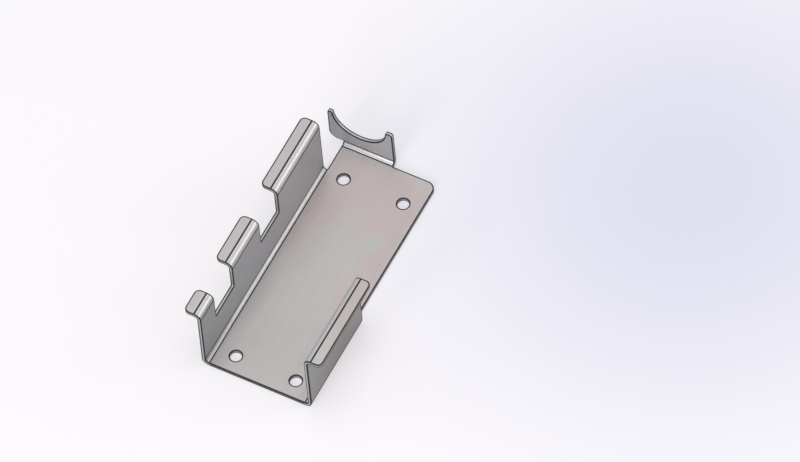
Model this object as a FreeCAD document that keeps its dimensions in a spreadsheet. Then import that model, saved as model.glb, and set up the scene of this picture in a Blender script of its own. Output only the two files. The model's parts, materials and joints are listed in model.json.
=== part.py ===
import FreeCAD, Part
import enum
import math
import os
import re

import Sketcher
from FreeCAD import Placement, Rotation, Vector

# A folded sheet-metal bracket, pressed from one flat blank.
# Frame: +X runs from the open front edge to the rear flange, +Y to the long left wall, +Z up.
# The origin is the centre of the four bolt holes, on the underside of the base.

# Driving dimensions in millimetres: alias, size and what it measures
SIZES = [
    ("sheet_thickness", 2.0, "thickness of the sheet, the same all over"),
    ("bend_radius", 2.0, "radius on the inside of every fold"),
    ("base_width", 56.0, "flat of the base, between the two side folds"),
    ("base_corner_radius", 5.0, "rear right corner of the base"),
    ("hole_diameter", 6.4, "bolt holes, close fit on a 6 mm bolt"),
    ("hole_spacing_length", 120.0, "bolt holes, centre to centre along the base"),
    ("hole_spacing_width", 35.0, "bolt holes, centre to centre across the base"),
    ("hole_front_inset", 10.0, "front pair of holes, from the front edge"),
    ("hole_rear_inset", 18.0, "rear pair of holes, from the rear fold"),
    ("wall_height", 45.0, "top of both lips above the underside"),
    ("left_wall_relief", 16.0, "gap between the long left wall and the rear fold"),
    ("right_wall_length", 57.0, "short right wall, back from the front edge"),
    ("lip_width", 6.0, "flat of each lip, beyond its fold"),
    ("lip_corner_radius", 3.0, "free corners of every lip"),
    ("notch_front_inset", 15.0, "first notch, from the front edge"),
    ("notch_width", 20.0, "each notch along the left wall"),
    ("notch_pitch", 50.0, "from one notch to the next"),
    ("notch_floor_height", 25.0, "bottom of the notches above the underside"),
    ("flange_overhang", 8.0, "rear flange, out past the left edge of the base"),
    ("flange_corner_radius", 5.0, "lower left corner of the rear flange"),
    ("cradle_radius", 15.4, "half-round cradle in the rear flange"),
    ("cradle_floor_height", 12.4, "lowest point of the cradle above the underside"),
    ("left_tip_width", 3.0, "tip of the flange on the left of the cradle"),
    ("right_tip_width", 4.2, "tip of the flange on the right of the cradle"),
    ("tip_outer_radius", 1.4, "outer corners of both tips"),
    ("tip_inner_radius", 1.0, "corners where the cradle meets the tips"),
]
NOTCH_COUNT = 2
HOLE_PAIR_COUNT = 2

# Lengths that follow from the driving dimensions, written once as formulas
FOLD_RADIUS = "(bend_radius + sheet_thickness)"
FRONT_REACH = "(hole_spacing_length / 2 + hole_front_inset)"
REAR_REACH = "(hole_spacing_length / 2 + hole_rear_inset)"
LEFT_WALL_LENGTH = f"({FRONT_REACH} + {REAR_REACH} - left_wall_relief)"
HALF_WIDTH = "(base_width / 2)"
LIP_REACH = f"({HALF_WIDTH} + {FOLD_RADIUS} + bend_radius + lip_width)"
FLANGE_LEFT = f"({HALF_WIDTH} + flange_overhang)"
CRADLE_LEFT = f"({FLANGE_LEFT} - left_tip_width)"
CRADLE_RIGHT = f"({CRADLE_LEFT} - 2 * cradle_radius)"
FLANGE_RIGHT = f"({CRADLE_RIGHT} - right_tip_width)"
FLANGE_TOP = "(cradle_floor_height + cradle_radius)"
TIP_LIMIT = "(min(left_tip_width; right_tip_width) / 2)"


class Point(enum.IntEnum):
    """The points of a drawn line or arc that a relation can hold."""
    START = 1
    END = 2
    CENTRE = 3


START, END, CENTRE = Point

# The level axis and the origin of every sketch
LEVEL_AXIS = -1
ORIGIN = (LEVEL_AXIS, START)

TOLERANCE = 1e-4
ALONG_X = Vector(1, 0, 0)
UPRIGHT = Vector(0, 0, 1)


def in_sheet(formula):
    """The same formula, with each size read from the Dimensions sheet."""
    names = "|".join(alias for alias, size, note in SIZES)
    return re.sub(rf"\b({names})\b", r"Dimensions.\1", formula)


def measure(owner, formula):
    """The value of a formula in millimetres."""
    return float(owner.evalExpression(in_sheet(formula)))


def bind(owner, setting, formula):
    """Ties one setting of a feature to the sheet."""
    owner.setExpression(setting, in_sheet(formula))


def make_sheet(doc):
    """The spreadsheet that holds every driving dimension."""
    sheet = doc.addObject("Spreadsheet::Sheet", "Dimensions")
    for row, (alias, size, note) in enumerate(SIZES, start=1):
        sheet.set(f"A{row}", alias)
        sheet.set(f"B{row}", str(size))
        sheet.setAlias(f"B{row}", alias)
        sheet.set(f"C{row}", note)
    doc.recompute()
    return sheet


def make_sketch(body, name, plane, shift=None, turn=0):
    """A sketch on one of the body's own planes, moved along the plane's normal by a formula."""
    sketch = body.newObject("Sketcher::SketchObject", name)
    support = next(item for item in body.Origin.OriginFeatures if item.Role == plane)
    sketch.AttachmentSupport = (support, [""])
    sketch.MapMode = "FlatFace"
    sketch.AttachmentOffset = Placement(Vector(0, 0, 0), Rotation(Vector(0, 1, 0), turn))
    if shift:
        bind(sketch, "AttachmentOffset.Base.z", shift)
    return sketch


def draw_line(sketch, start, end):
    """A straight line from start to end."""
    return sketch.addGeometry(Part.LineSegment(Vector(*start, 0), Vector(*end, 0)))


def draw_arc(sketch, centre, radius, first, last):
    """An arc that turns to the left from the first angle to the last, in degrees."""
    circle = Part.Circle(Vector(*centre, 0), UPRIGHT, radius)
    return sketch.addGeometry(Part.ArcOfCircle(circle, math.radians(first), math.radians(last)))


def relate(sketch, kind, *where):
    """A relation with no size, such as Vertical or Tangent."""
    sketch.addConstraint(Sketcher.Constraint(kind, *where))


def drive(sketch, label, kind, where, formula):
    """A named dimension of the sketch, tied to the sheet."""
    index = sketch.addConstraint(Sketcher.Constraint(kind, *where, measure(sketch, formula)))
    sketch.renameConstraint(index, label)
    bind(sketch, f"Constraints.{label}", formula)


def make_pad(body, name, sketch, length, backward=False):
    """The sketch, thickened to a solid and joined to the body."""
    pad = body.newObject("PartDesign::Pad", name)
    pad.Profile = sketch
    bind(pad, "Length", length)
    pad.Reversed = backward
    pad.Refine = True
    body.Document.recompute()
    return pad


def make_cut(body, name, sketch, backward=False):
    """The sketch, cut right through the sheet on one side of its plane."""
    cut = body.newObject("PartDesign::Pocket", name)
    cut.Profile = sketch
    cut.Type = "ThroughAll"
    cut.Reversed = backward
    cut.Refine = True
    body.Document.recompute()
    return cut


def make_rows(body, name, feature, directions):
    """Copies of a cut in one or two directions, each with its axis, its reach and its count."""
    rows = body.newObject("PartDesign::LinearPattern", name)
    rows.Originals = [feature]
    for suffix, (axis, reach, count) in zip(("", "2"), directions):
        setattr(rows, f"Direction{suffix}", (feature.Profile[0], [axis]))
        setattr(rows, f"Mode{suffix}", "Extent")
        setattr(rows, f"Occurrences{suffix}", count)
        bind(rows, f"Length{suffix}", reach)
    rows.Refine = True
    body.Tip = rows
    body.Document.recompute()
    return rows


def edges_along(shape, direction, wanted):
    """Names of the straight edges that run in a direction and whose middle is wanted."""
    names = []
    for number, edge in enumerate(shape.Edges, start=1):
        if edge.Curve.TypeId != "Part::GeomLine":
            continue
        run = edge.Vertexes[-1].Point - edge.Vertexes[0].Point
        if run.cross(direction).Length < TOLERANCE and wanted(edge.CenterOfMass):
            names.append(f"Edge{number}")
    return names


def round_edges(body, name, edges, radius):
    """Rounds the named edges of the body as it stands."""
    if not edges:
        raise RuntimeError(f"{name}: no edge to round")
    base = body.Tip
    rounding = body.newObject("PartDesign::Fillet", name)
    rounding.Base = (base, edges)
    bind(rounding, "Radius", radius)
    rounding.Refine = True
    body.Tip = rounding
    body.Document.recompute()
    return rounding


def draw_base(body):
    """Outline of the flat base: square at the folds, with its free rear right corner rounded."""
    sketch = make_sketch(body, "BaseOutline", "XY_Plane")
    front, rear = -measure(sketch, FRONT_REACH), measure(sketch, REAR_REACH)
    side, corner = measure(sketch, HALF_WIDTH), measure(sketch, "base_corner_radius")

    front_edge = draw_line(sketch, (front, side), (front, -side))
    right_edge = draw_line(sketch, (front, -side), (rear - corner, -side))
    corner_arc = draw_arc(sketch, (rear - corner, corner - side), corner, 270, 360)
    rear_edge = draw_line(sketch, (rear, corner - side), (rear, side))
    left_edge = draw_line(sketch, (rear, side), (front, side))

    relate(sketch, "Coincident", front_edge, END, right_edge, START)
    relate(sketch, "Tangent", right_edge, END, corner_arc, START)
    relate(sketch, "Tangent", corner_arc, END, rear_edge, START)
    relate(sketch, "Coincident", rear_edge, END, left_edge, START)
    relate(sketch, "Coincident", left_edge, END, front_edge, START)
    relate(sketch, "Vertical", rear_edge)
    relate(sketch, "Horizontal", left_edge)
    relate(sketch, "Symmetric", front_edge, START, front_edge, END, LEVEL_AXIS)
    relate(sketch, "Horizontal", right_edge)
    drive(sketch, "front_reach", "DistanceX", (front_edge, START, *ORIGIN), FRONT_REACH)
    drive(sketch, "rear_reach", "DistanceX", (*ORIGIN, left_edge, START), REAR_REACH)
    drive(sketch, "half_width", "DistanceY", (*ORIGIN, left_edge, END), HALF_WIDTH)
    drive(sketch, "corner", "Radius", (corner_arc,), "base_corner_radius")
    return sketch


def draw_wall_section(body, name, turn):
    """Section of a side wall: fold up from the base, upright, fold outwards, flat lip."""
    sketch = make_sketch(body, name, "YZ_Plane", f"-{FRONT_REACH}", turn)
    root = measure(sketch, HALF_WIDTH)
    inner, outer = measure(sketch, "bend_radius"), measure(sketch, FOLD_RADIUS)
    top, lip = measure(sketch, "wall_height"), measure(sketch, LIP_REACH)
    low = (root, outer)
    high = (root + inner + outer, top - outer)

    joint = draw_line(sketch, (root, outer - inner), (root, 0))
    low_outside = draw_arc(sketch, low, outer, 270, 360)
    outside = draw_line(sketch, (root + outer, outer), (root + outer, high[1]))
    high_inside = draw_arc(sketch, high, inner, 90, 180)
    lip_under = draw_line(sketch, (high[0], high[1] + inner), (lip, high[1] + inner))
    lip_edge = draw_line(sketch, (lip, high[1] + inner), (lip, top))
    lip_top = draw_line(sketch, (lip, top), (high[0], top))
    high_outside = draw_arc(sketch, high, outer, 90, 180)
    inside = draw_line(sketch, (root + inner, high[1]), (root + inner, outer))
    low_inside = draw_arc(sketch, low, inner, 270, 360)

    relate(sketch, "Coincident", joint, END, low_outside, START)
    relate(sketch, "Tangent", low_outside, END, outside, START)
    relate(sketch, "Tangent", outside, END, high_inside, END)
    relate(sketch, "Tangent", high_inside, START, lip_under, START)
    relate(sketch, "Coincident", lip_under, END, lip_edge, START)
    relate(sketch, "Coincident", lip_edge, END, lip_top, START)
    relate(sketch, "Tangent", lip_top, END, high_outside, START)
    relate(sketch, "Tangent", high_outside, END, inside, START)
    relate(sketch, "Tangent", inside, END, low_inside, END)
    relate(sketch, "Coincident", low_inside, START, joint, START)
    relate(sketch, "Coincident", low_inside, CENTRE, low_outside, CENTRE)
    relate(sketch, "Coincident", high_inside, CENTRE, high_outside, CENTRE)
    relate(sketch, "PointOnObject", low_outside, CENTRE, joint)
    for upright in (joint, outside, lip_edge):
        relate(sketch, "Vertical", upright)
    for level in (lip_under, lip_top):
        relate(sketch, "Horizontal", level)
    relate(sketch, "PointOnObject", joint, END, LEVEL_AXIS)
    drive(sketch, "half_width", "DistanceX", (*ORIGIN, joint, END), HALF_WIDTH)
    drive(sketch, "height", "DistanceY", (*ORIGIN, lip_top, END), "wall_height")
    drive(sketch, "lip_flat", "DistanceX", (lip_top, END, lip_top, START), "lip_width")
    drive(sketch, "low_inner_radius", "Radius", (low_inside,), "bend_radius")
    drive(sketch, "low_outer_radius", "Radius", (low_outside,), FOLD_RADIUS)
    drive(sketch, "high_inner_radius", "Radius", (high_inside,), "bend_radius")
    drive(sketch, "high_outer_radius", "Radius", (high_outside,), FOLD_RADIUS)
    return sketch


def draw_notch(body):
    """The first notch, seen from the side: open at the top, through the upper wall and its lip."""
    sketch = make_sketch(body, "NotchOutline", "XZ_Plane")
    rear = measure(sketch, f"notch_front_inset + notch_width - {FRONT_REACH}")
    front = rear - measure(sketch, "notch_width")
    floor, above = measure(sketch, "notch_floor_height"), measure(sketch, "wall_height + sheet_thickness")

    bottom = draw_line(sketch, (front, floor), (rear, floor))
    rear_side = draw_line(sketch, (rear, floor), (rear, above))
    top = draw_line(sketch, (rear, above), (front, above))
    front_side = draw_line(sketch, (front, above), (front, floor))

    relate(sketch, "Coincident", bottom, END, rear_side, START)
    relate(sketch, "Coincident", rear_side, END, top, START)
    relate(sketch, "Coincident", top, END, front_side, START)
    relate(sketch, "Coincident", front_side, END, bottom, START)
    relate(sketch, "Horizontal", bottom)
    relate(sketch, "Horizontal", top)
    relate(sketch, "Vertical", rear_side)
    relate(sketch, "Vertical", front_side)
    drive(sketch, "front_side", "DistanceX", (*ORIGIN, bottom, START), f"notch_front_inset - {FRONT_REACH}")
    drive(sketch, "width", "DistanceX", (bottom, START, bottom, END), "notch_width")
    drive(sketch, "floor", "DistanceY", (*ORIGIN, bottom, START), "notch_floor_height")
    drive(sketch, "above", "DistanceY", (*ORIGIN, top, START), "wall_height + sheet_thickness")
    return sketch


def draw_flange_fold(body):
    """Section of the fold that turns the base up into the rear flange."""
    sketch = make_sketch(body, "FlangeFoldSection", "XZ_Plane", f"-{HALF_WIDTH}")
    root = measure(sketch, REAR_REACH)
    inner, outer = measure(sketch, "bend_radius"), measure(sketch, FOLD_RADIUS)

    joint = draw_line(sketch, (root, outer - inner), (root, 0))
    outside = draw_arc(sketch, (root, outer), outer, 270, 360)
    end = draw_line(sketch, (root + outer, outer), (root + inner, outer))
    inside = draw_arc(sketch, (root, outer), inner, 270, 360)

    relate(sketch, "Coincident", joint, END, outside, START)
    relate(sketch, "Coincident", outside, END, end, START)
    relate(sketch, "Coincident", end, END, inside, END)
    relate(sketch, "Coincident", inside, START, joint, START)
    relate(sketch, "Coincident", inside, CENTRE, outside, CENTRE)
    relate(sketch, "PointOnObject", outside, CENTRE, joint)
    relate(sketch, "PointOnObject", outside, CENTRE, end)
    relate(sketch, "Vertical", joint)
    relate(sketch, "Horizontal", end)
    relate(sketch, "PointOnObject", joint, END, LEVEL_AXIS)
    drive(sketch, "rear_reach", "DistanceX", (*ORIGIN, joint, END), REAR_REACH)
    drive(sketch, "inner_radius", "Radius", (inside,), "bend_radius")
    drive(sketch, "outer_radius", "Radius", (outside,), FOLD_RADIUS)
    return sketch


def draw_flange_plate(body):
    """Outline of the upright rear flange, with the half-round cradle between its two tips."""
    sketch = make_sketch(body, "FlangeOutline", "YZ_Plane", f"{REAR_REACH} + bend_radius")
    left, right = measure(sketch, FLANGE_LEFT), measure(sketch, FLANGE_RIGHT)
    cradle_left, cradle_right = measure(sketch, CRADLE_LEFT), measure(sketch, CRADLE_RIGHT)
    low, top = measure(sketch, FOLD_RADIUS), measure(sketch, FLANGE_TOP)
    corner, radius = measure(sketch, "flange_corner_radius"), measure(sketch, "cradle_radius")

    low_edge = draw_line(sketch, (right, low), (left - corner, low))
    corner_arc = draw_arc(sketch, (left - corner, low + corner), corner, 270, 360)
    left_edge = draw_line(sketch, (left, low + corner), (left, top))
    left_tip = draw_line(sketch, (left, top), (cradle_left, top))
    cradle = draw_arc(sketch, ((cradle_left + cradle_right) / 2, top), radius, 180, 360)
    right_tip = draw_line(sketch, (cradle_right, top), (right, top))
    right_edge = draw_line(sketch, (right, top), (right, low))

    relate(sketch, "Tangent", low_edge, END, corner_arc, START)
    relate(sketch, "Tangent", corner_arc, END, left_edge, START)
    relate(sketch, "Coincident", left_edge, END, left_tip, START)
    relate(sketch, "Coincident", left_tip, END, cradle, END)
    relate(sketch, "Coincident", cradle, START, right_tip, START)
    relate(sketch, "Coincident", right_tip, END, right_edge, START)
    relate(sketch, "Coincident", right_edge, END, low_edge, START)
    relate(sketch, "PointOnObject", cradle, CENTRE, left_tip)
    relate(sketch, "PointOnObject", cradle, CENTRE, right_tip)
    for level in (low_edge, left_tip, right_tip):
        relate(sketch, "Horizontal", level)
    for upright in (left_edge, right_edge):
        relate(sketch, "Vertical", upright)
    drive(sketch, "left_reach", "DistanceX", (*ORIGIN, left_tip, START), FLANGE_LEFT)
    drive(sketch, "left_tip", "DistanceX", (left_tip, END, left_tip, START), "left_tip_width")
    drive(sketch, "right_tip", "DistanceX", (right_tip, END, right_tip, START), "right_tip_width")
    drive(sketch, "low_edge", "DistanceY", (*ORIGIN, low_edge, START), FOLD_RADIUS)
    drive(sketch, "top", "DistanceY", (*ORIGIN, left_tip, START), FLANGE_TOP)
    drive(sketch, "cradle", "Radius", (cradle,), "cradle_radius")
    drive(sketch, "corner", "Radius", (corner_arc,), "flange_corner_radius")
    return sketch


def draw_hole(body):
    """The front right bolt hole."""
    sketch = make_sketch(body, "HoleOutline", "XY_Plane")
    ahead, aside = measure(sketch, "hole_spacing_length / 2"), measure(sketch, "hole_spacing_width / 2")
    circle = Part.Circle(Vector(-ahead, -aside, 0), UPRIGHT, measure(sketch, "hole_diameter / 2"))
    rim = sketch.addGeometry(circle)
    drive(sketch, "ahead", "DistanceX", (rim, CENTRE, *ORIGIN), "hole_spacing_length / 2")
    drive(sketch, "aside", "DistanceY", (rim, CENTRE, *ORIGIN), "hole_spacing_width / 2")
    drive(sketch, "diameter", "Diameter", (rim,), "hole_diameter")
    return sketch


def make_bracket(doc):
    """The whole bracket, one sheet folded five times, with its notches, cradle and bolt holes."""
    body = doc.addObject("PartDesign::Body", "Bracket")
    body.Label = "bracket"
    body.Placement = Placement(Vector(0, 0, 0), Rotation())

    make_pad(body, "Base", draw_base(body), "sheet_thickness")
    left_section = draw_wall_section(body, "LeftWallSection", 0)
    make_pad(body, "LeftWall", left_section, LEFT_WALL_LENGTH)
    notch = make_cut(body, "Notch", draw_notch(body))
    make_rows(body, "Notches", notch, [("H_Axis", f"notch_pitch * {NOTCH_COUNT - 1}", NOTCH_COUNT)])
    right_section = draw_wall_section(body, "RightWallSection", 180)
    make_pad(body, "RightWall", right_section, "right_wall_length", backward=True)
    make_pad(body, "FlangeFold", draw_flange_fold(body), f"{HALF_WIDTH} - {FLANGE_RIGHT}")
    make_pad(body, "Flange", draw_flange_plate(body), "sheet_thickness")

    hole = make_cut(body, "BoltHole", draw_hole(body), backward=True)
    make_rows(body, "BoltHoles", hole, [("H_Axis", "hole_spacing_length", HOLE_PAIR_COUNT),
                                        ("V_Axis", "hole_spacing_width", HOLE_PAIR_COUNT)])

    round_lips(body)
    round_tips(body)
    return body


def round_lips(body):
    """Rounds the free corners of the three left lips and the right one."""
    reach = measure(body, LIP_REACH)
    corners = edges_along(body.Shape, UPRIGHT, lambda middle: abs(abs(middle.y) - reach) < TOLERANCE)
    round_edges(body, "LipCorners", corners, "lip_corner_radius")


def round_tips(body):
    """Rounds the corners of the flange's two tips, outside and in the cradle's mouth."""
    top = measure(body, FLANGE_TOP)
    for name, places, radius in (("TipOuterCorners", (FLANGE_LEFT, FLANGE_RIGHT), "tip_outer_radius"),
                                 ("TipInnerCorners", (CRADLE_LEFT, CRADLE_RIGHT), "tip_inner_radius")):
        sides = [measure(body, place) for place in places]
        corners = edges_along(body.Shape, ALONG_X, lambda middle: abs(middle.z - top) < TOLERANCE
                              and min(abs(middle.y - side) for side in sides) < TOLERANCE)
        round_edges(body, name, corners, f"min({radius}; {TIP_LIMIT})")


def check(doc, body):
    """Stops if a feature failed, if a cut removed nothing or if the sheet isn't one sound solid."""
    failed = [item.Name for item in doc.Objects if {"Invalid", "Error"} & set(item.State)]
    if failed:
        raise RuntimeError(f"these features failed: {failed}")
    for name in ("Notch", "Notches", "BoltHole", "BoltHoles"):
        feature = doc.getObject(name)
        if feature.Shape.Volume >= feature.BaseFeature.Shape.Volume - TOLERANCE:
            raise RuntimeError(f"{name} removes nothing")
    if body.Shape.isNull() or not body.Shape.isValid() or len(body.Shape.Solids) != 1:
        raise RuntimeError(f"{body.Label} isn't one valid solid")


def main():
    doc = FreeCAD.newDocument("Bracket")
    make_sheet(doc)
    body = make_bracket(doc)
    doc.recompute()
    check(doc, body)
    os.makedirs("parts", exist_ok=True)
    body.Shape.exportStep(f"parts/{body.Label}.step")
    box = body.Shape.BoundBox
    print(f"{body.Label}: {box.XLength:.2f} x {box.YLength:.2f} x {box.ZLength:.2f} mm, "
          f"{body.Shape.Volume:.1f} cubic mm, {len(body.Shape.Faces)} faces")


main()
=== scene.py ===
"""A folded sheet-metal bracket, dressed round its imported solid.

The blank is drawn flat, as it is cut from the sheet, and one function folds it. The folded sheet keeps the
form of the solid that it stands for, with smooth folds, rounded arrises and a map of the flat blank that the
grain follows. Frame: +X runs to the rear flange, +Y to the long left wall, +Z up; everything is in metres.
"""

import json
import math
from collections import namedtuple

import bpy
import numpy as np
from mathutils import Matrix, Vector
from mathutils.geometry import delaunay_2d_cdt


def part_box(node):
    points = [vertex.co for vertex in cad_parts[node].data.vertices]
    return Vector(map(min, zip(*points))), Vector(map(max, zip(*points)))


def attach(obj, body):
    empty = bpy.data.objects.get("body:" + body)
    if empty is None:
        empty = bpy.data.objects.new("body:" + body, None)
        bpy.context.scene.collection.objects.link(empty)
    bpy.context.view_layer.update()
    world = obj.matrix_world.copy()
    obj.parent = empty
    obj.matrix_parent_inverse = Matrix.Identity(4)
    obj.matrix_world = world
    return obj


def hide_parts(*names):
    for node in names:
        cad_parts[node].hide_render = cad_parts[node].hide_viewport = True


bl_info = {
    "name": "Folded sheet bracket",
    "version": (1, 0, 0),
    "blender": (4, 5, 0),
    "location": "3D View > Sidebar > Bracket",
    "description": "Folds a flat blank into a bracket and lights it",
    "category": "Mesh",
}

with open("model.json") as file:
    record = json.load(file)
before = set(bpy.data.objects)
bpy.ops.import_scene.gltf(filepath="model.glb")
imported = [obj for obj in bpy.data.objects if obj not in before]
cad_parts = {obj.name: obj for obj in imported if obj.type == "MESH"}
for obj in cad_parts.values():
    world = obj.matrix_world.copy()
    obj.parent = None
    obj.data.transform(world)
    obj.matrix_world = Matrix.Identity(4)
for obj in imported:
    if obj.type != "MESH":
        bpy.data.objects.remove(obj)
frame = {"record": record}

LOW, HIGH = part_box("bracket")
MOUNTS = {mount["name"]: mount for mount in frame["record"]["mounts"]}
BOLTS = MOUNTS["base_holes"]["dims"]
CRADLE = Vector(MOUNTS["cradle"]["pos_m"])
MM = 0.001
QUARTER = math.pi / 2
NOTCH_COUNT = 2
FLOOR_GAP = 0.02 * MM

# How finely the shape is divided
FOLD_STEPS = 8
RIM_STEPS = 4
ARC_STEP = 0.35 * MM
CRADLE_STEP = 0.6 * MM
FEWEST_ARC_STEPS = 4

# How closely directions and places are told apart
DIRECTION_DIGITS = 9
CORNER_CLEARANCE = 1e-6
MERGE_DISTANCE = 1e-7

# The photograph's frame, where the bracket lies in it, and the camera's sensor in millimetres
PHOTO_SIZE = (800, 462)
PHOTO_PIXELS_PER_METRE = 1932.0
PHOTO_ORIGIN_PIXEL = (320.0, 281.75)
SENSOR_WIDTH = 36.0

# The sheet's patterns: waves per millimetre along, across and through it, fineness, and shift in millimetres
Pattern = namedtuple("Pattern", "waves detail shift")
FINE_STREAKS = Pattern((0.10, 5.0, 5.0), 4.0, 0.0)
BROAD_STREAKS = Pattern((0.012, 0.55, 0.55), 3.0, 40.0)
WARM_PATCHES = Pattern((0.022, 0.03, 0.03), 2.0, 7.0)
GREEN_PATCHES = Pattern((0.025, 0.03, 0.03), 2.0, 61.0)
SCRATCHES = Pattern((0.045, 3.2, 3.2), 1.0, 11.0)
SMUDGES = Pattern((0.06, 0.07, 0.07), 3.0, 150.0)
TEARS = Pattern((3.5, 3.5, 0.25), 3.0, 0.0)
GRIT = Pattern((6.0, 6.0, 6.0), 4.0, 20.0)

# Values of a pattern between which its effect sets in
STREAK_LEVELS = (0.30, 0.70)
WARM_LEVELS = (0.46, 0.70)
GREEN_LEVELS = (0.52, 0.74)
SCRATCH_LEVELS = (0.735, 0.80)
SMUDGE_LEVELS = (0.45, 0.72)

# Shares of the two kinds of streaks, the scratches' directions in degrees, and how much the warm patches
# grow with each millimetre to the rear
FINE_SHARE = 0.4
BROAD_SHARE = 0.6
SCRATCH_TURNS = (12.0, 71.0, -38.0)
WARM_DRIFT = 0.003

# Strips of the blank, in millimetres, over which the painted reflection tint changes, with its share before
# and after the strip; where no shares are given it sets in
BASE_SIDE = (24.0, 31.0, 1.0, 0.2)
BASE_REAR = (70.0, 80.0, 1.0, 0.1)
LEFT_WALL_FOOT = (31.0, 34.0)
LEFT_WALL_TOP = (68.0, 71.0, 1.0, 0.0)
RIGHT_WALL_FOOT = (-30.0, -33.0)
RIGHT_WALL_FRONT = (-66.0, -40.0)
FLANGE_FOOT = (81.0, 84.0)

# The rolled faces
SKIN_SHADES = (0.97, 1.03)
SKIN_MARKS = 1.0
# Share of the bright colour mixed into the folds: painted highlight, partly tool burnish
FOLD_PAINTED_SHEEN = 0.5
FOLD_POLISH = 0.06
FOLD_LINE_LEVELS = (0.05, 0.28)
SCRATCH_SHINE = 0.25
SCRATCH_DEPTH = 1.5
STREAK_ROUGHNESS = 0.015
SMUDGE_ROUGHNESS = 0.015
SKIN_BUMP = {"strength": 0.25, "distance": 0.02 * MM}

# The sheared edges; heights are in millimetres above the sheet's middle surface
TORN_WAVINESS = 0.5
TORN_TOP = (0.40, 0.55, 1.0, 0.0)
UPPER_LINE = (0.34, 0.59)
LOWER_LINE = (-0.16, -0.49)
FRONT_STRIP = (LOW.x / MM + 0.4, LOW.x / MM + 0.1)
BASE_STRIP = (27.0, 28.0, 1.0, 0.0)
FRONT_LINE_EXTRA = 0.28
CUT_SHADES = (0.88, 1.10)
CUT_MARKS = 0.5
CUT_ROUGHNESS = (0.34, 0.55)
CUT_SMUDGE_ROUGHNESS = 0.1
GRIT_DEPTH = 1.5
CUT_BUMP = {"strength": 0.5, "distance": 0.04 * MM}


def length(name, description, default):
    """A size in metres that the panel shows as a length."""
    return bpy.props.FloatProperty(
        name=name, description=description, default=default, min=0.0, precision=5, unit="LENGTH")


def colour(name, description, default):
    """A colour, given as linear red, green and blue."""
    return bpy.props.FloatVectorProperty(
        name=name, description=description, default=default, min=0.0, max=1.0, size=3, subtype="COLOR")


def share(name, description, default):
    """A share from 0 to 1."""
    return bpy.props.FloatProperty(
        name=name, description=description, default=default, min=0.0, max=1.0, subtype="FACTOR")


def strength(name, description, default):
    """A strength of light."""
    return bpy.props.FloatProperty(name=name, description=description, default=default, min=0.0)


def direction(name, description, default):
    """A direction from the bracket, as rearward, left and up."""
    return bpy.props.FloatVectorProperty(
        name=name, description=description, default=default, size=3, subtype="DIRECTION")


def angle(name, description, degrees):
    """An angle that the panel shows in degrees."""
    return bpy.props.FloatProperty(
        name=name, description=description, default=math.radians(degrees), unit="ROTATION", subtype="ANGLE")


class BlankSizes(bpy.types.PropertyGroup):
    """Sizes of the sheet, its folds and the outline of its blank."""
    thickness: length("Thickness", "Thickness of the sheet", 2.0 * MM)
    bend_radius: length("Bend radius", "Inside radius of every fold", 2.0 * MM)
    front: length("Front reach", "From the bolt pattern's centre to the front edge", -LOW.x)
    rear: length("Rear reach", "From the bolt pattern's centre to the flange's back", HIGH.x)
    height: length("Height", "Top of the lips above the underside", HIGH.z)
    reach: length("Lip reach", "From the middle of the base to the edge of each lip", HIGH.y)
    lip_width: length("Lip width", "Flat of each lip beyond its fold", 6.0 * MM)
    lip_corner: length("Lip corner", "Radius of the lips' free corners", 3.0 * MM)
    base_corner: length("Base corner", "Radius of the base's rear right corner", 5.0 * MM)
    left_wall: length("Left wall", "Length of the long left wall", 132.0 * MM)
    right_wall: length("Right wall", "Length of the short right wall", 57.0 * MM)
    notch_inset: length("Notch inset", "From the front edge to the first notch", 15.0 * MM)
    notch_width: length("Notch width", "Length of each notch along the wall", 20.0 * MM)
    notch_pitch: length("Notch pitch", "From one notch to the next", 50.0 * MM)
    notch_floor: length("Notch floor", "Bottom of the notches above the underside", 25.0 * MM)
    flange_corner: length("Flange corner", "Radius of the flange's lower left corner", 5.0 * MM)
    cradle_radius: length("Cradle radius", "Radius of the half-round cradle", 15.4 * MM)
    left_tip: length("Left tip", "Width of the flange's tip on the left of the cradle", 3.0 * MM)
    right_tip: length("Right tip", "Width of the flange's tip on the right of the cradle", 4.2 * MM)
    tip_outer: length("Outer tip corner", "Radius of the tips' outer corners", 1.4 * MM)
    tip_inner: length("Inner tip corner", "Radius where the cradle meets the tips", 1.0 * MM)
    cut_corner: length("Cut corner", "Radius that the tool leaves in a sharp corner", 0.35 * MM)
    die_roll: length("Die roll", "Rounding of the sheared edge on the upper side", 0.2 * MM)
    burr_break: length("Burr break", "Rounding of the sheared edge on the underside", 0.1 * MM)
    edge_gap: length("Edge gap", "How far from the edges the lines along the folds stop", 0.45 * MM)
    edge_reach: length("Edge reach", "How far from an edge its distance is still measured", 0.9 * MM)
    mark_width: length("Fold mark", "Half the width of the tool's mark where a fold meets a level part",
                       0.5 * MM)
    wall_mark: length("Wall mark", "Half the width of the tool's mark where a fold meets an upright",
                      0.6 * MM)


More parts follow.
